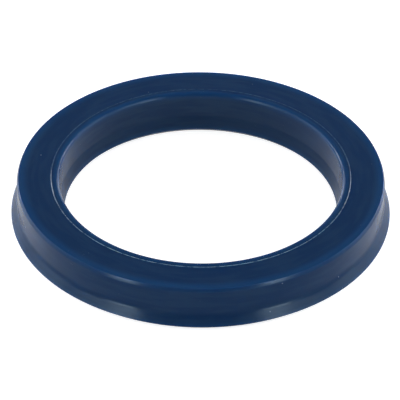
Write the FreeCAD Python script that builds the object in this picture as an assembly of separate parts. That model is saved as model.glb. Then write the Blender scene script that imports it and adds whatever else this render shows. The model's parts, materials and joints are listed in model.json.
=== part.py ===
import FreeCAD, Part
import math
import os

# U cup seal: one ring moulded in polyurethane, for a hydraulic cylinder
# It stands on its lip ends at z = 0, with the heel on top and its axis along Z
# Two lips flare out below the heel, one to the rod and one to the housing
# The U groove between them is open at the bottom, and fluid in it spreads the lips
# All sizes are in millimetres

# The rod, and the space round it that the housing leaves for the seal
ROD_DIAMETER = 60.0
SEAL_SPACE_WIDTH = 10.0

# The whole ring
SEAL_HEIGHT = 10.0

# Heel, the solid upper part, which stays clear of both walls
ROD_CLEARANCE = 0.5
HOUSING_CLEARANCE = 0.4
BORE_CHAMFER = 0.5
LEAD_IN_HEIGHT = 0.9
LEAD_IN_ANGLE = 21.5
HEEL_CORNER_RADIUS = 1.1

# Lip that wipes the rod, with its sealing edge inside the rod's radius
ROD_LIP_SQUEEZE = 0.4
ROD_LIP_HEIGHT = 4.0
ROD_LIP_EDGE_HEIGHT = 0.95
ROD_LIP_BEVEL_WIDTH = 0.9
ROD_LIP_END_WIDTH = 1.6

# Lip that grips the housing, with its sealing edge outside the housing's radius
HOUSING_LIP_SQUEEZE = 1.1
HOUSING_LIP_HEIGHT = 3.6
HOUSING_LIP_EDGE_HEIGHT = 1.4
HOUSING_LIP_BEVEL_WIDTH = 1.5
HOUSING_LIP_END_WIDTH = 1.3

# U groove between the lips
GROOVE_DEPTH = 5.0
GROOVE_ROOT_RADIUS = 1.1

# Radii that follow from the fits
rod_radius = ROD_DIAMETER / 2
housing_radius = rod_radius + SEAL_SPACE_WIDTH
bore_radius = rod_radius + ROD_CLEARANCE
heel_radius = housing_radius - HOUSING_CLEARANCE
rod_lip_radius = rod_radius - ROD_LIP_SQUEEZE
housing_lip_radius = housing_radius + HOUSING_LIP_SQUEEZE


def at(radius, height):
    """Point of the ring's section."""
    return FreeCAD.Vector(radius, 0, height)


def toward(start, end):
    """Direction from one point to another, one unit long."""
    return (end - start).normalize()


def line(start, end):
    """Straight edge of the section."""
    return Part.LineSegment(start, end).toShape()


def rounding(before, corner, after, radius):
    """Start, middle and end of the arc that rounds a corner of the section."""
    back = toward(corner, before)
    ahead = toward(corner, after)
    half_angle = back.getAngle(ahead) / 2
    reach = radius / math.tan(half_angle)
    depth = radius / math.sin(half_angle) - radius
    start = corner + back * reach
    middle = corner + toward(corner, corner + back + ahead) * depth
    end = corner + ahead * reach
    return start, middle, end


def chain(corners):
    """Edges through (point, rounding radius) pairs, with a radius of 0 left sharp."""
    points = [point for point, radius in corners]
    edges = []
    reached = points[0]
    for index in range(1, len(points) - 1):
        corner, radius = corners[index]
        if radius == 0:
            edges.append(line(reached, corner))
            reached = corner
            continue
        start, middle, end = rounding(points[index - 1], corner, points[index + 1], radius)
        edges.append(line(reached, start))
        edges.append(Part.Arc(start, middle, end).toShape())
        reached = end
    edges.append(line(reached, points[-1]))
    return edges


def rod_lip():
    """Inner side of the rod lip, from the groove's mouth up to the bore wall."""
    end_radius = rod_lip_radius + ROD_LIP_BEVEL_WIDTH
    return [
        (at(end_radius + ROD_LIP_END_WIDTH, 0), 0),
        (at(end_radius, 0), 0),
        (at(rod_lip_radius, ROD_LIP_EDGE_HEIGHT), 0),
        (at(bore_radius, ROD_LIP_HEIGHT), 0),
    ]


def heel():
    """Heel from its bore chamfer, across its flat face, to its lead-in for the housing."""
    lead_in_depth = LEAD_IN_HEIGHT * math.tan(math.radians(LEAD_IN_ANGLE))
    return [
        (at(bore_radius, SEAL_HEIGHT - BORE_CHAMFER), 0),
        (at(bore_radius + BORE_CHAMFER, SEAL_HEIGHT), 0),
        (at(heel_radius - lead_in_depth, SEAL_HEIGHT), HEEL_CORNER_RADIUS),
        (at(heel_radius, SEAL_HEIGHT - LEAD_IN_HEIGHT), 0),
    ]


def housing_lip():
    """Outer side of the housing lip, from the heel wall down to the groove's mouth."""
    end_radius = housing_lip_radius - HOUSING_LIP_BEVEL_WIDTH
    return [
        (at(heel_radius, HOUSING_LIP_HEIGHT), 0),
        (at(housing_lip_radius, HOUSING_LIP_EDGE_HEIGHT), 0),
        (at(end_radius, 0), 0),
        (at(end_radius - HOUSING_LIP_END_WIDTH, 0), 0),
    ]


def groove(outer_mouth, inner_mouth):
    """U groove from mouth to mouth, with straight walls that run tangent into a round root."""
    middle_radius = (outer_mouth.x + inner_mouth.x) / 2
    half_mouth = (outer_mouth.x - inner_mouth.x) / 2
    centre_height = GROOVE_DEPTH - GROOVE_ROOT_RADIUS
    mouth_to_centre = math.hypot(half_mouth, centre_height)
    tangent_angle = math.acos(GROOVE_ROOT_RADIUS / mouth_to_centre)
    wall_slope = tangent_angle - math.atan2(centre_height, half_mouth)
    half_root = GROOVE_ROOT_RADIUS * math.cos(wall_slope)
    root_height = centre_height + GROOVE_ROOT_RADIUS * math.sin(wall_slope)
    outer_root = at(middle_radius + half_root, root_height)
    inner_root = at(middle_radius - half_root, root_height)
    top = at(middle_radius, GROOVE_DEPTH)
    return [
        line(outer_mouth, outer_root),
        Part.Arc(outer_root, top, inner_root).toShape(),
        line(inner_root, inner_mouth),
    ]


def seal():
    """The whole ring: its section turned once about Z."""
    outside = rod_lip() + heel() + housing_lip()
    inner_mouth = outside[0][0]
    outer_mouth = outside[-1][0]
    outline = Part.Wire(chain(outside) + groove(outer_mouth, inner_mouth))
    ring = Part.Face(outline).revolve(at(0, 0), FreeCAD.Vector(0, 0, 1), 360)
    return ring


os.makedirs("parts", exist_ok=True)
u_cup_seal = seal()
u_cup_seal.exportStep("parts/u_cup_seal.step")
size = u_cup_seal.optimalBoundingBox()
print("valid:", u_cup_seal.isValid(), "volume in cubic millimetres:", round(u_cup_seal.Volume, 1))
print("outer diameter and height:", round(size.XLength, 2), round(size.ZLength, 2))
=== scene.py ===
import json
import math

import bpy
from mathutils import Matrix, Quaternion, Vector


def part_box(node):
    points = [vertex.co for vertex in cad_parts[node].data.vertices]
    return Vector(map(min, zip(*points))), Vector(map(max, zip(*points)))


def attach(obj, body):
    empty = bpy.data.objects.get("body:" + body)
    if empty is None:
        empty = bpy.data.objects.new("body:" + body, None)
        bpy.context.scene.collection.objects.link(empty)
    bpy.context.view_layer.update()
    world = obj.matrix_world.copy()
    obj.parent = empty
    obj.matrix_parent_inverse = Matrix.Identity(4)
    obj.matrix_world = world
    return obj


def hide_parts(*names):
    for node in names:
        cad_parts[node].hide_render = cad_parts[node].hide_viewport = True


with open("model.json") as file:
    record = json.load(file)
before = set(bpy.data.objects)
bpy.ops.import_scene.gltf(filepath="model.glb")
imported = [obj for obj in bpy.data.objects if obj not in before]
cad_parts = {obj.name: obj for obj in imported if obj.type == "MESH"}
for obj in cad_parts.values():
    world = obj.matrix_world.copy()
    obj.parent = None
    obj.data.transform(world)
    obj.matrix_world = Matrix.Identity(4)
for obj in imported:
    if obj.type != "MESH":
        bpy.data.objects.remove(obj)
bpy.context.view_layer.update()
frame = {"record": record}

# %% [markdown]
# A U cup seal seen from close by
#
# The object is one ring of blue polyurethane, 82 mm across and 10 mm high. It seals the rod
# of a hydraulic cylinder. The frame already holds its solid at the real size. This lesson
# draws the same ring once more as a finer mesh, with the soft blends that a mould leaves, and
# gives it the waxy, slightly see-through finish of polyurethane. The frame's own box is kept
# first, so that the finished ring can be held against it.

MILLIMETRE = 0.001

low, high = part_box("u_cup_seal")
lip_radius = high.x / MILLIMETRE
seal_height = high.z / MILLIMETRE
print("lip radius and height in mm:", round(lip_radius, 2), round(seal_height, 2))

# %% [markdown]
# The record's mounts say how wide the bore and the heel are. Reading them keeps the looks on
# the construction: if the seal is made in another size, the mesh follows.

# %% Read the bore and the heel from the record
mounts = {mount["name"]: mount for mount in frame["record"]["mounts"]}
bore_radius = mounts["rod_bore"]["dims"]["r_mm"]
heel_radius = mounts["housing_wall"]["dims"]["r_mm"]
print("bore and heel radius in mm:", bore_radius, heel_radius)

# %% [markdown]
# Camera
#
# The photograph looks down on the ring from the front, with a long lens, so its ellipses are
# nearly plain. The angle and distance were found by laying the rims of the ring over the
# picture. A camera in Blender looks along its own -Z, so the turn is made with to_track_quat,
# and the small roll is added about that same axis.

# %% Place the camera
CAMERA_ELEVATION = 36.716
CAMERA_DISTANCE = 0.51335
CAMERA_ROLL = 0.52
LENS = 213.33
AIM_BELOW_MIDDLE = 0.00166
AIM_LEFT_OF_MIDDLE = 0.00016

middle = Vector((0, 0, (low.z + high.z) / 2))
tilt = math.radians(CAMERA_ELEVATION)
roll = math.radians(CAMERA_ROLL)
level_right = Vector((1, 0, 0))
level_up = Vector((0, math.sin(tilt), math.cos(tilt)))
right = level_right * math.cos(roll) + level_up * math.sin(roll)
up = level_up * math.cos(roll) - level_right * math.sin(roll)
aim = middle - up * AIM_BELOW_MIDDLE - right * AIM_LEFT_OF_MIDDLE
place = middle + Vector((0, -math.cos(tilt), math.sin(tilt))) * CAMERA_DISTANCE

bpy.ops.object.select_all(action="DESELECT")
bpy.ops.object.camera_add(location=place)
camera = bpy.context.object
camera.name = "photo_camera"
camera.data.lens = LENS
camera.data.clip_start = 0.01
camera.rotation_mode = "QUATERNION"
camera.rotation_quaternion = (aim - place).to_track_quat("-Z", "Y") @ Quaternion((0, 0, 1), roll)
bpy.context.scene.camera = camera
bpy.context.scene.view_settings.view_transform = "Standard"
print("camera at", tuple(round(value, 4) for value in place))

# %% [markdown]
# Section of the ring
#
# Everything about a seal is in its section: cut the ring once and the whole shape is there.
# On a lathe or in a mould it is a body of revolution, so one drawn outline, turned once round
# the axis, gives the whole ring. The outline is a list of corners, each with its radius from
# the axis, its height, and the radius that rounds it. The groove is drawn as a wedge whose
# tip is rounded off, which gives two straight walls that run into a round root. The heel has
# a narrow lead-in on its outer corner and a slope in two steps on its bore corner. Near the
# bore the mould's two halves meet and leave a witness line, a step of a tenth of a millimetre.
# It is drawn in the section too, because its glint comes from its shape.

# %% List the section's corners
ROD_LIP_REACH = 0.9
ROD_LIP_EDGE_HEIGHT = 0.95
ROD_LIP_BEVEL = 0.9
ROD_LIP_END_WIDTH = 1.6
ROD_LIP_HEIGHT = 4.0
HOUSING_LIP_EDGE_HEIGHT = 1.4
HOUSING_LIP_BEVEL = 1.5
HOUSING_LIP_END_WIDTH = 1.3
HOUSING_LIP_HEIGHT = 3.6
GROOVE_DEPTH = 5.0
GROOVE_ROOT = 1.1

SHARP_EDGE = 0.06
WITNESS_EDGE = 0.03
LIP_CORNER = 0.12
CREASE_INSIDE = 1.2
CREASE_OUTSIDE = 2.5
BORE_CORNER = 0.3
BORE_FOOT = 0.1
BORE_STEEP_WIDTH = 0.23
BORE_STEEP_HEIGHT = 0.44
BORE_SLOPE_WIDTH = 0.65
BORE_SLOPE_HEIGHT = 0.64
HEEL_CORNER = 0.06
LEAD_IN_WIDTH = 0.31
LEAD_IN_HEIGHT = 0.78
LEAD_IN_BLEND = 0.5

WITNESS_FROM_BORE = 1.8
WITNESS_RISE_WIDTH = 0.5
WITNESS_STEP_WIDTH = 0.16
WITNESS_HEIGHT = 0.05

rod_edge = bore_radius - ROD_LIP_REACH
rod_end = rod_edge + ROD_LIP_BEVEL
housing_end = lip_radius - HOUSING_LIP_BEVEL
inner_mouth = rod_end + ROD_LIP_END_WIDTH
outer_mouth = housing_end - HOUSING_LIP_END_WIDTH
witness_radius = bore_radius + WITNESS_FROM_BORE
bore_slope_foot = seal_height - BORE_SLOPE_HEIGHT


def wedge_height(half_mouth, depth, root):
    """Height of the wedge whose tip, rounded to the root radius, ends at the groove's depth."""
    centre = depth - root
    wall_slope = math.acos(root / math.hypot(half_mouth, centre)) - math.atan2(centre, half_mouth)
    return half_mouth / math.tan(wall_slope)


groove_middle = (inner_mouth + outer_mouth) / 2
groove_tip = wedge_height((outer_mouth - inner_mouth) / 2, GROOVE_DEPTH, GROOVE_ROOT)

CORNERS = [
    (inner_mouth, 0, LIP_CORNER),
    (groove_middle, groove_tip, GROOVE_ROOT),
    (outer_mouth, 0, LIP_CORNER),
    (housing_end, 0, LIP_CORNER),
    (lip_radius, HOUSING_LIP_EDGE_HEIGHT, SHARP_EDGE),
    (heel_radius, HOUSING_LIP_HEIGHT, CREASE_OUTSIDE),
    (heel_radius, seal_height - LEAD_IN_HEIGHT, LEAD_IN_BLEND),
    (heel_radius - LEAD_IN_WIDTH, seal_height, HEEL_CORNER),
    (witness_radius + WITNESS_RISE_WIDTH, seal_height, SHARP_EDGE),
    (witness_radius, seal_height + WITNESS_HEIGHT, WITNESS_EDGE),
    (witness_radius - WITNESS_STEP_WIDTH, seal_height - WITNESS_HEIGHT, WITNESS_EDGE),
    (bore_radius + BORE_SLOPE_WIDTH, seal_height, BORE_CORNER),
    (bore_radius + BORE_STEEP_WIDTH, bore_slope_foot + BORE_STEEP_HEIGHT, BORE_CORNER),
    (bore_radius, bore_slope_foot, BORE_FOOT),
    (bore_radius, ROD_LIP_HEIGHT, CREASE_INSIDE),
    (rod_edge, ROD_LIP_EDGE_HEIGHT, SHARP_EDGE),
    (rod_end, 0, LIP_CORNER),
]
print(len(CORNERS), "corners, groove tip at", round(groove_tip, 2), "mm")

# %% [markdown]
# Pen
#
# The outline is drawn in edit mode as with a pen. A small plane is merged to a single point,
# a straight run is that point extruded, and a rounding is that point spun about the centre of
# its arc. Spin makes a true arc, where a bevel of a corner that isn't square would make a
# part of an ellipse, and a highlight shows the difference.

# %% Make the pen
ARC_STEP = 5.0


def on_section(radius, height):
    """Point of the section in the frame's metres."""
    return Vector((radius, 0, height)) * MILLIMETRE


def pen_down(point):
    """Start an outline: a small plane merged to one point, left in edit mode."""
    bpy.ops.object.select_all(action="DESELECT")
    bpy.ops.mesh.primitive_plane_add(size=MILLIMETRE, location=point)
    bpy.ops.object.mode_set(mode="EDIT")
    bpy.ops.mesh.select_all(action="SELECT")
    bpy.ops.mesh.merge(type="CENTER")


def straight(start, end):
    """Draw a straight run."""
    bpy.ops.mesh.extrude_region_move(TRANSFORM_OT_translate={"value": end - start})


def arc(centre, turn):
    """Draw an arc about a centre, in even steps. Seen from the front, a plus turn is to the left."""
    steps = max(2, round(abs(math.degrees(turn)) / ARC_STEP))
    bpy.ops.mesh.spin(steps=steps, angle=turn, center=centre, axis=(0, 1, 0))


# %% [markdown]
# A rounding touches both runs of its corner. How far back it starts, and where its centre
# lies, follow from the turn between the runs. The pen needs both for every corner.

# %% Work out a rounding


def rounding(before, corner, after, radius):
    """Start, end, centre and turn of the arc that rounds a corner."""
    arriving = (corner - before).normalized()
    leaving = (after - corner).normalized()
    turn = math.atan2(arriving.x * leaving.z - arriving.z * leaving.x, arriving.dot(leaving))
    reach = radius * math.tan(abs(turn) / 2)
    start = corner - arriving * reach
    end = corner + leaving * reach
    side = Vector((-arriving.z, 0, arriving.x)) * math.copysign(1, turn)
    return start, end, start + side * radius, turn


def draw_section(corners):
    """Draw the closed outline through all corners and leave it in edit mode."""
    points = [on_section(radius, height) for radius, height, rounded in corners]
    arcs = []
    for index, (radius, height, rounded) in enumerate(corners):
        after = points[(index + 1) % len(points)]
        arcs.append(rounding(points[index - 1], points[index], after, rounded * MILLIMETRE))
    pen_down(arcs[0][0])
    for index, (start, end, centre, turn) in enumerate(arcs):
        arc(centre, turn)
        straight(end, arcs[(index + 1) % len(arcs)][0])


draw_section(CORNERS)
ring = bpy.context.object
ring.name = "u_cup_seal_ring"
bpy.ops.mesh.select_all(action="SELECT")
bpy.ops.mesh.remove_doubles(threshold=0.001 * MILLIMETRE)
ring.update_from_editmode()
print("outline points:", len(ring.data.vertices), "edges:", len(ring.data.edges))

# %% [markdown]
# Turning the section
#
# One spin of the outline about the axis makes the ring. The last step lands on the first, so
# doubles are merged, and because a spin can leave a shell inside out, the normals are
# recalculated after that.

# %% Spin the section into the ring
RING_STEPS = 400

bpy.ops.mesh.select_all(action="SELECT")
bpy.ops.mesh.spin(steps=RING_STEPS, angle=2 * math.pi, center=(0, 0, 0), axis=(0, 0, 1))
bpy.ops.mesh.select_all(action="SELECT")
bpy.ops.mesh.remove_doubles(threshold=0.001 * MILLIMETRE)
bpy.ops.mesh.normals_make_consistent(inside=False)
bpy.ops.object.mode_set(mode="OBJECT")
bpy.ops.object.transform_apply(location=True, rotation=True, scale=True)
print("ring faces:", len(ring.data.polygons))
print("ring size in mm:", [round(value / MILLIMETRE, 2) for value in ring.dimensions])

# %% [markdown]
# Smooth shading hides the ring's small flat faces. The real edges are already drawn as fine
# arcs, so no fold between two faces comes near the angle limit, and all of them are smoothed.

# %% Smooth the ring
SMOOTH_ANGLE = 40.0

bpy.ops.object.shade_smooth_by_angle(angle=math.radians(SMOOTH_ANGLE))
print("smooth faces:", sum(face.use_smooth for face in ring.data.polygons))

# %% [markdown]
# Helpers for nodes
#
# A material is a small graph. The first helper fills a node's inputs, each with a number, a
# colour or a link. The others add a node and set its properties, so that a recipe below reads
# line by line. A Mix node has a set of sockets for each kind of data, so its colour sockets
# are known by their numbers.

# %% Make the node helpers
FIRST_COLOUR = 6
SECOND_COLOUR = 7
MIXED_COLOUR = 2
FLOAT = "NodeSocketFloat"
VECTOR = "NodeSocketVector"


def fill(tree, node, inputs):
    """Fill a node's inputs with values or links."""
    for name, value in inputs.items():
        if isinstance(value, bpy.types.NodeSocket):
            tree.links.new(value, node.inputs[name])
        else:
            node.inputs[name].default_value = value


def add(tree, kind, inputs=None, **properties):
    """Add a node, set its properties, and fill its inputs."""
    node = tree.nodes.new(kind)
    for name, value in properties.items():
        setattr(node, name, value)
    fill(tree, node, inputs or {})
    return node


def calc(tree, operation, first, second=0.0, third=0.0):
    """One step of arithmetic. The third value is for MULTIPLY_ADD."""
    inputs = {0: first, 1: second, 2: third}
    return add(tree, "ShaderNodeMath", inputs, operation=operation).outputs[0]


def fade(tree, value, zero_at, one_at):
    """Soft step from 0 to 1 between two values, which may run downwards."""
    inputs = {"Value": value, "From Min": zero_at, "From Max": one_at}
    return add(tree, "ShaderNodeMapRange", inputs, interpolation_type="SMOOTHSTEP").outputs[0]


def blend_colours(tree, share, first, second):
    """Mix two colours by a share from 0 to 1."""
    inputs = {0: share, FIRST_COLOUR: first, SECOND_COLOUR: second}
    return add(tree, "ShaderNodeMix", inputs, data_type="RGBA").outputs[MIXED_COLOUR]


def new_group(name, inputs, outputs):
    """Start a node group with named inputs and outputs."""
    group = bpy.data.node_groups.new(name, "ShaderNodeTree")
    for label, kind, value in inputs:
        socket = group.interface.new_socket(label, in_out="INPUT", socket_type=kind)
        if value is not None:
            socket.default_value = value
    for label, kind in outputs:
        group.interface.new_socket(label, in_out="OUTPUT", socket_type=kind)
    entry = add(group, "NodeGroupInput")
    return group, entry.outputs


def use_group(tree, group, inputs):
    """Place a group in a material."""
    return add(tree, "ShaderNodeGroup", inputs, node_tree=group).outputs


print("node helpers ready for sockets:", FLOAT, VECTOR)

# %% [markdown]
# Ring coordinates
#
# All marks on a ring follow its turning, so the patterns need a place in the ring's own
# terms: how far from the axis, how high, and a direction round it. Object coordinates are in
# metres and centred on the axis here. The length of their X and Y gives the radius.

# %% Group: ring coordinates


def ring_coordinates():
    """Object position in, radius and height and position in millimetres out."""
    outputs = [("Radius", FLOAT), ("Height", FLOAT), ("Place", VECTOR), ("Section", VECTOR)]
    group, entry = new_group("ring_coordinates", [("Position", VECTOR, None)], outputs)
    inputs = {0: entry["Position"], "Scale": 1 / MILLIMETRE}
    place = add(group, "ShaderNodeVectorMath", inputs, operation="SCALE").outputs[0]
    parts = add(group, "ShaderNodeSeparateXYZ", {0: place}).outputs
    flat = add(group, "ShaderNodeCombineXYZ", {"X": parts["X"], "Y": parts["Y"]}).outputs[0]
    radius = add(group, "ShaderNodeVectorMath", {0: flat}, operation="LENGTH").outputs["Value"]
    section = add(group, "ShaderNodeCombineXYZ", {"X": radius, "Y": parts["Z"]}).outputs[0]
    results = {"Radius": radius, "Height": parts["Z"], "Place": place, "Section": section}
    add(group, "NodeGroupOutput", results)
    return group


ring_place = ring_coordinates()
print("outputs:", [item.name for item in ring_place.interface.items_tree if item.in_out == "OUTPUT"])

# %% [markdown]
# Turned marks
#
# The mould was turned on a lathe, so its cutter lines run round the ring as very fine
# streaks. Noise with four dimensions draws them without a seam: radius and height change
# fast, and X and Y, which change slowly round the ring, are the other two.

# %% Group: turned marks
TURNED_FINENESS = 3
TURNED_LENGTH = 14


def turned_marks():
    """Streaks round the ring, from 0 to 1."""
    place_inputs = [("Place", VECTOR, None), ("Radius", FLOAT, 0)]
    size_inputs = [("Fineness", FLOAT, TURNED_FINENESS), ("Length", FLOAT, TURNED_LENGTH)]
    group, entry = new_group("turned_marks", place_inputs + size_inputs, [("Marks", FLOAT)])
    parts = add(group, "ShaderNodeSeparateXYZ", {0: entry["Place"]}).outputs
    across = calc(group, "MULTIPLY", entry["Radius"], entry["Fineness"])
    upward = calc(group, "MULTIPLY", parts["Z"], entry["Fineness"])
    along_x = calc(group, "DIVIDE", parts["X"], entry["Length"])
    along_y = calc(group, "DIVIDE", parts["Y"], entry["Length"])
    vector = add(group, "ShaderNodeCombineXYZ", {"X": across, "Y": upward, "Z": along_x}).outputs[0]
    settings = {"Vector": vector, "W": along_y, "Scale": 1.0, "Detail": 2.0}
    noise = add(group, "ShaderNodeTexNoise", settings, noise_dimensions="4D")
    add(group, "NodeGroupOutput", {"Marks": noise.outputs[0]})
    return group


marks_group = turned_marks()
print("inputs:", [item.name for item in marks_group.interface.items_tree if item.in_out == "INPUT"])

# %% [markdown]
# Painted glow in thin edges
#
# Polyurethane passes a little light. Where the ring is thin, or where two faces meet, light
# that came in on one face leaves by the other, so the edges look a brighter, purer blue than
# the broad faces. Subsurface scattering in the shader does part of it. This mask paints the
# rest into the base colour as a brighter blue, a painted glow along the heel's two corners,
# where it fades within two millimetres, and at the ends of the lips.

# %% Group: painted glow in thin edges
EDGE_REACH = 1.7
CORNER_GLOW = 0.55
HEEL_GLOW_INWARD = 0.9
BORE_GLOW_OUTWARD = 0.4
BORE_GLOW_BELOW = 0.2
LIP_GLOW_FROM = 2.3
LIP_GLOW_FULL = 0.4


def near_ring(tree, section, radius, height, reach):
    """1 at a circle round the axis, and 0 farther from it than the reach."""
    point = add(tree, "ShaderNodeCombineXYZ", {"X": radius, "Y": height}).outputs[0]
    distance = add(tree, "ShaderNodeVectorMath", {0: section, 1: point}, operation="DISTANCE")
    return fade(tree, distance.outputs["Value"], reach, 0.0)


def thin_edges():
    """Mask of the painted glow, where light comes through the thin edges."""
    inputs = [("Section", VECTOR, None), ("Height", FLOAT, 0)]
    group, entry = new_group("thin_edges", inputs, [("Glow", FLOAT)])
    section = entry["Section"]
    heel_glow = heel_radius - HEEL_GLOW_INWARD
    bore_glow = bore_radius + BORE_GLOW_OUTWARD
    heel_corner = near_ring(group, section, heel_glow, seal_height, EDGE_REACH)
    bore_corner = near_ring(group, section, bore_glow, seal_height - BORE_GLOW_BELOW, EDGE_REACH)
    lips = fade(group, entry["Height"], LIP_GLOW_FROM, LIP_GLOW_FULL)
    corners = calc(group, "MULTIPLY", calc(group, "MAXIMUM", heel_corner, bore_corner), CORNER_GLOW)
    add(group, "NodeGroupOutput", {"Glow": calc(group, "MAXIMUM", corners, lips)})
    return group


edges_group = thin_edges()
print("glow reaches", EDGE_REACH, "mm from an edge")

# %% [markdown]
# Frosted line and painted highlight
#
# The witness line stands proud of the heel face, so it is rubbed first in handling. The rubbed
# parts scatter light, and show as a pale thread. A narrow band of the radius gives the line,
# and noise round the ring makes it uneven. The thread is also a painted highlight: it is
# paler at the front of the ring, where the line catches light from behind, and fades toward
# the back.

# %% Group: frosted line and painted highlight
FROST_WIDTH = 0.14
FROST_DOWN_TO = 0.2
FROST_FULL_FROM = 0.05
FLECKS_PER_MILLIMETRE = 1.1
FLECKS_FROM = 0.36
FLECKS_FULL = 0.6
LEAST_FLECK = 0.25
THREAD_PALEST_Y = -31.0
THREAD_DIMMEST_Y = 2.0
THREAD_LEAST_AT_BACK = 0.14


def frosted_line():
    """Mask of the pale thread along the witness line: frost, with a painted highlight."""
    inputs = [("Radius", FLOAT, 0), ("Height", FLOAT, 0), ("Place", VECTOR, None)]
    group, entry = new_group("frosted_line", inputs, [("Frost", FLOAT)])
    off_line = calc(group, "ABSOLUTE", calc(group, "SUBTRACT", entry["Radius"], witness_radius))
    line = fade(group, off_line, FROST_WIDTH, FROST_WIDTH / 4)
    on_top = fade(group, entry["Height"], seal_height - FROST_DOWN_TO, seal_height - FROST_FULL_FROM)
    settings = {"Vector": entry["Place"], "Scale": FLECKS_PER_MILLIMETRE, "Detail": 3.0}
    noise = add(group, "ShaderNodeTexNoise", settings)
    flecks = fade(group, noise.outputs[0], FLECKS_FROM, FLECKS_FULL)
    flecks = calc(group, "MULTIPLY_ADD", flecks, 1 - LEAST_FLECK, LEAST_FLECK)
    # Painted highlight: the thread is paler toward the front, where it catches light from behind.
    to_back = add(group, "ShaderNodeSeparateXYZ", {0: entry["Place"]}).outputs["Y"]
    rubbed = fade(group, to_back, THREAD_DIMMEST_Y, THREAD_PALEST_Y)
    rubbed = calc(group, "MULTIPLY_ADD", rubbed, 1 - THREAD_LEAST_AT_BACK, THREAD_LEAST_AT_BACK)
    thread = calc(group, "MULTIPLY", line, on_top)
    uneven = calc(group, "MULTIPLY", flecks, rubbed)
    add(group, "NodeGroupOutput", {"Frost": calc(group, "MULTIPLY", thread, uneven)})
    return group


frost_and_highlight_group = frosted_line()
print("frosted line at radius", witness_radius)

# %% [markdown]
# Handling marks
#
# A seal from a bag has a few specks of dust and faint rubs. Voronoi cells give each place a
# random number, and only a few cells keep their speck. The rubs are a fine noise that is kept
# only where a coarse noise is high, so that they come in loose patches.

# %% Group: handling marks
SPECK_SPACING = 1.2
SPECK_SIZE = 0.2
SPECK_SHARE = 0.014
PATCHES_PER_MILLIMETRE = 0.12
PATCHES_FROM = 0.5
PATCHES_FULL = 0.75
RUBS_PER_MILLIMETRE = 1.6
RUBS_FROM = 0.5
RUBS_FULL = 0.8


def handling_marks():
    """Masks of the specks and of the rubs."""
    outputs = [("Specks", FLOAT), ("Rubs", FLOAT)]
    group, entry = new_group("handling_marks", [("Place", VECTOR, None)], outputs)
    cells = add(group, "ShaderNodeTexVoronoi", {"Vector": entry["Place"], "Scale": 1 / SPECK_SPACING})
    draw = add(group, "ShaderNodeSeparateColor", {0: cells.outputs["Color"]}).outputs[0]
    chosen = calc(group, "GREATER_THAN", draw, 1 - SPECK_SHARE)
    size = SPECK_SIZE / SPECK_SPACING
    dot = fade(group, cells.outputs["Distance"], size, size / 3)
    specks = calc(group, "MULTIPLY", chosen, dot)
    coarse_settings = {"Vector": entry["Place"], "Scale": PATCHES_PER_MILLIMETRE, "Detail": 1.0}
    coarse = add(group, "ShaderNodeTexNoise", coarse_settings)
    patches = fade(group, coarse.outputs[0], PATCHES_FROM, PATCHES_FULL)
    fine_settings = {"Vector": entry["Place"], "Scale": RUBS_PER_MILLIMETRE, "Detail": 4.0}
    fine = add(group, "ShaderNodeTexNoise", fine_settings)
    strokes = fade(group, fine.outputs[0], RUBS_FROM, RUBS_FULL)
    rubs = calc(group, "MULTIPLY", patches, strokes)
    add(group, "NodeGroupOutput", {"Specks": specks, "Rubs": rubs})
    return group


handling_group = handling_marks()
print("one speck in", round(1 / SPECK_SHARE), "cells")

# %% [markdown]
# Polyurethane
#
# The same plastic shows in two finishes. Where it touched the mould it is satin, with the
# mould's turned marks. The lips are trimmed with a blade after moulding, so their bevels and
# ends are smoother and show no such marks. One recipe makes both, each with its own values.
# Broad and faint streaks of haze, where the plastic flowed in the mould, keep the navy from
# looking painted. The index of refraction is a little low for polyurethane, because the fine
# grain of a satin face takes part of its gloss away, and the sheen has a light blue tint.

# %% Recipe for the plastic
NAVY = (0.0045, 0.0235, 0.0800, 1)
# Painted glow: the brighter blue that the edge mask puts into the base colour.
PAINTED_GLOW_BLUE = (0.0068, 0.0500, 0.1480, 1)
# Pale thread on the witness line: frost, and a painted highlight.
FROST_AND_HIGHLIGHT = (0.1700, 0.2900, 0.4000, 1)
HAZE = (0.0112, 0.0355, 0.0900, 1)
DUST = (0.1800, 0.2300, 0.3200, 1)
SHEEN_TINT = (0.66, 0.88, 1.0, 1)
SATIN_IOR = 1.3
LIGHT_REACH = (0.3, 0.6, 1.0)
LIGHT_DEPTH = 0.002

HAZE_FINENESS = 0.7
HAZE_LENGTH = 9
HAZE_FROM = 0.4
HAZE_FULL = 0.62
HAZE_SHARE = 0.5
DUST_SHARE = 0.7
RUB_ROUGHNESS = 0.12
FROST_ROUGHNESS = 0.25


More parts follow.
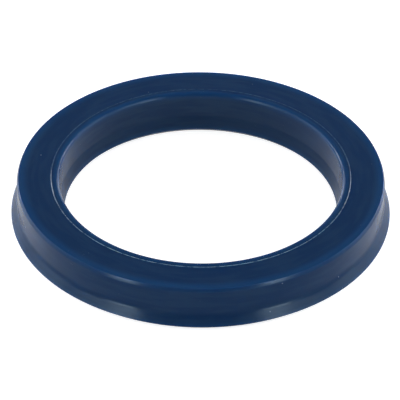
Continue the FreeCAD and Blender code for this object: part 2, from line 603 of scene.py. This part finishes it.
def polyurethane(name, roughness, marks_depth, marks_on_gloss):
    """One finish of the blue polyurethane."""
    material = bpy.data.materials.new(name)
    material.use_nodes = True
    tree = material.node_tree
    shader = tree.nodes["Principled BSDF"]
    position = add(tree, "ShaderNodeTexCoord").outputs["Object"]
    ring_is = use_group(tree, ring_place, {"Position": position})
    place, radius, height = ring_is["Place"], ring_is["Radius"], ring_is["Height"]
    marks = use_group(tree, marks_group, {"Place": place, "Radius": radius})["Marks"]
    glow = use_group(tree, edges_group, {"Section": ring_is["Section"], "Height": height})["Glow"]
    frost_and_highlight = use_group(tree, frost_and_highlight_group, {"Radius": radius, "Height": height, "Place": place})["Frost"]
    handling = use_group(tree, handling_group, {"Place": place})

    haze_settings = {"Place": place, "Radius": radius, "Fineness": HAZE_FINENESS, "Length": HAZE_LENGTH}
    streaks = use_group(tree, marks_group, haze_settings)["Marks"]
    hazy = calc(tree, "MULTIPLY", fade(tree, streaks, HAZE_FROM, HAZE_FULL), HAZE_SHARE)
    dusty = calc(tree, "MULTIPLY", handling["Specks"], DUST_SHARE)
    colour = blend_colours(tree, hazy, NAVY, HAZE)
    # Painted glow at the heel's corners and the lip ends.
    colour = blend_colours(tree, glow, colour, PAINTED_GLOW_BLUE)
    # Frost and painted highlight along the witness line.
    colour = blend_colours(tree, frost_and_highlight, colour, FROST_AND_HIGHLIGHT)
    colour = blend_colours(tree, dusty, colour, DUST)

    turned = calc(tree, "MULTIPLY", calc(tree, "SUBTRACT", marks, 0.5), marks_on_gloss)
    rubbed = calc(tree, "MULTIPLY", handling["Rubs"], RUB_ROUGHNESS)
    frosted = calc(tree, "MULTIPLY", frost_and_highlight, FROST_ROUGHNESS)
    rough = calc(tree, "ADD", calc(tree, "ADD", turned, roughness), calc(tree, "ADD", rubbed, frosted))
    bump_inputs = {"Height": marks, "Strength": 1.0, "Distance": marks_depth * MILLIMETRE}
    bump = add(tree, "ShaderNodeBump", bump_inputs)

    shader.subsurface_method = "RANDOM_WALK"
    fill(tree, shader, {
        "Base Color": colour,
        "Roughness": rough,
        "Normal": bump.outputs[0],
        "Subsurface Weight": 1.0,
        "Subsurface Radius": LIGHT_REACH,
        "Subsurface Scale": LIGHT_DEPTH,
        "IOR": SATIN_IOR,
        "Specular Tint": SHEEN_TINT,
    })
    return material


moulded = polyurethane("moulded_polyurethane", roughness=0.21, marks_depth=0.004, marks_on_gloss=0.1)
trimmed = polyurethane("trimmed_polyurethane", roughness=0.16, marks_depth=0.0, marks_on_gloss=0.0)
ring.data.materials.append(moulded)
ring.data.materials.append(trimmed)
print("materials:", [material.name for material in ring.data.materials])

# %% [markdown]
# The trimmed faces are found by their place: they look down, and they lie below the sealing
# edges but not in the groove. All other faces keep the first material.

# %% Give the trimmed faces their finish
TRIMMED_SLOPE = -0.3


def is_trimmed(face):
    """True for a face of a lip's bevel or end."""
    from_axis = face.center.xy.length / MILLIMETRE
    in_groove = inner_mouth + LIP_CORNER < from_axis < outer_mouth - LIP_CORNER
    low_enough = face.center.z < HOUSING_LIP_EDGE_HEIGHT * MILLIMETRE
    return low_enough and face.normal.z < TRIMMED_SLOPE and not in_groove


for face in ring.data.polygons:
    face.material_index = 1 if is_trimmed(face) else 0
print("trimmed faces:", sum(face.material_index for face in ring.data.polygons))

# %% [markdown]
# Floor, world and lamps
#
# The photograph's ground is plain white. The floor's own colour is pale, and Light Path lifts
# it to white for the camera and in reflections, so it can be white without more light on the
# seal, and it still shows the seal's soft shadow. The lift in reflections fades out in front
# of the ring. That is painted shade on the ground there, as the dark lower wall of the ring tells.

# %% Lay the floor
FLOOR_SIZE = 8.0
FLOOR_COLOUR = (0.62, 0.62, 0.62, 1)
WHITE = (1, 1, 1, 1)
CAMERA_LIFT = 0.76
GLOSSY_LIFT = 0.4
DIM_BEFORE = -0.05
FULL_BEHIND = -0.01


def lifted_floor():
    """Pale floor, lifted to white for the camera and in reflections, with painted shade in front."""
    material = bpy.data.materials.new("white_floor")
    material.use_nodes = True
    tree = material.node_tree
    shader = tree.nodes["Principled BSDF"]
    path = add(tree, "ShaderNodeLightPath").outputs
    position = add(tree, "ShaderNodeTexCoord").outputs["Object"]
    toward_back = add(tree, "ShaderNodeSeparateXYZ", {0: position}).outputs["Y"]
    # Painted shade: in reflections the lift fades out in front of the ring.
    behind = calc(tree, "MULTIPLY", fade(tree, toward_back, DIM_BEFORE, FULL_BEHIND), GLOSSY_LIFT)
    reflected = calc(tree, "MAXIMUM", path["Is Glossy Ray"], path["Is Transmission Ray"])
    reflected = calc(tree, "MULTIPLY", reflected, behind)
    seen = calc(tree, "MULTIPLY", path["Is Camera Ray"], CAMERA_LIFT)
    fill(tree, shader, {
        "Base Color": FLOOR_COLOUR,
        "Roughness": 1.0,
        "Specular IOR Level": 0.0,
        "Emission Color": WHITE,
        "Emission Strength": calc(tree, "ADD", seen, reflected),
    })
    return material


bpy.ops.object.select_all(action="DESELECT")
bpy.ops.mesh.primitive_plane_add(size=FLOOR_SIZE)
floor = bpy.context.object
floor.name = "floor"
floor.data.materials.append(lifted_floor())
print("floor", FLOOR_SIZE, "m wide")

# %% [markdown]
# Soft boxes stand in pairs beside the seal. Each pair is known by what it lights: the strips
# give the streaks on the front of the lip and the glint on the heel's corner, the side boxes
# whiten the walls toward the outline, and the rear boxes brighten the flared lip at the sides.
# Their brightness was first found from renders with one pair alone, set against the
# photograph, and a few were then changed. Each is placed by its azimuth from the
# front, its elevation above the floor and its distance, in degrees and metres.

# %% Set up the world and the soft boxes
WORLD_LEVEL = 0.165


def soft_box(name, azimuth, elevation, distance, width, height, level):
    """Area lamp that faces the seal. The level is its brightness, where 1 is a white wall."""
    around = math.radians(azimuth)
    above = math.radians(elevation)
    level_away = Vector((math.sin(around), -math.cos(around), 0))
    away = level_away * math.cos(above) + Vector((0, 0, math.sin(above)))
    bpy.ops.object.light_add(type="AREA", location=middle + away * distance)
    lamp = bpy.context.object
    lamp.name = name
    lamp.data.shape = "RECTANGLE"
    lamp.data.size = width
    lamp.data.size_y = height
    lamp.data.energy = level * math.pi * width * height
    lamp.rotation_euler = away.to_track_quat("Z", "Y").to_euler()


world = bpy.data.worlds.new("studio")
world.use_nodes = True
background = world.node_tree.nodes["Background"]
fill(world.node_tree, background, {"Color": WHITE, "Strength": WORLD_LEVEL})
bpy.context.scene.world = world

for side in (-1, 1):
    soft_box("strip_foot", side * 42, 5, distance=0.6, width=0.15, height=0.1, level=10.0)
    soft_box("strip", side * 42, 22, distance=0.6, width=0.15, height=0.27, level=5.0)
    soft_box("wide_strip", side * 62, 26, distance=0.6, width=0.24, height=0.3, level=2.2)
    soft_box("side_foot", side * 100, 9, distance=0.7, width=0.6, height=0.2, level=1.9)
    soft_box("side_box", side * 100, 30, distance=0.7, width=0.55, height=0.28, level=4.4)
    soft_box("rear_side", side * 128, 6, distance=0.7, width=0.22, height=0.2, level=18.5)
    soft_box("rear_box", side * 145, 10, distance=0.7, width=0.4, height=0.24, level=6.3)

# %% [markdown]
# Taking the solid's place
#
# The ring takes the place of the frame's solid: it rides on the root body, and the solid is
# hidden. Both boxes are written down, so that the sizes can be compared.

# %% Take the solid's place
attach(ring, "root")
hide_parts("u_cup_seal")
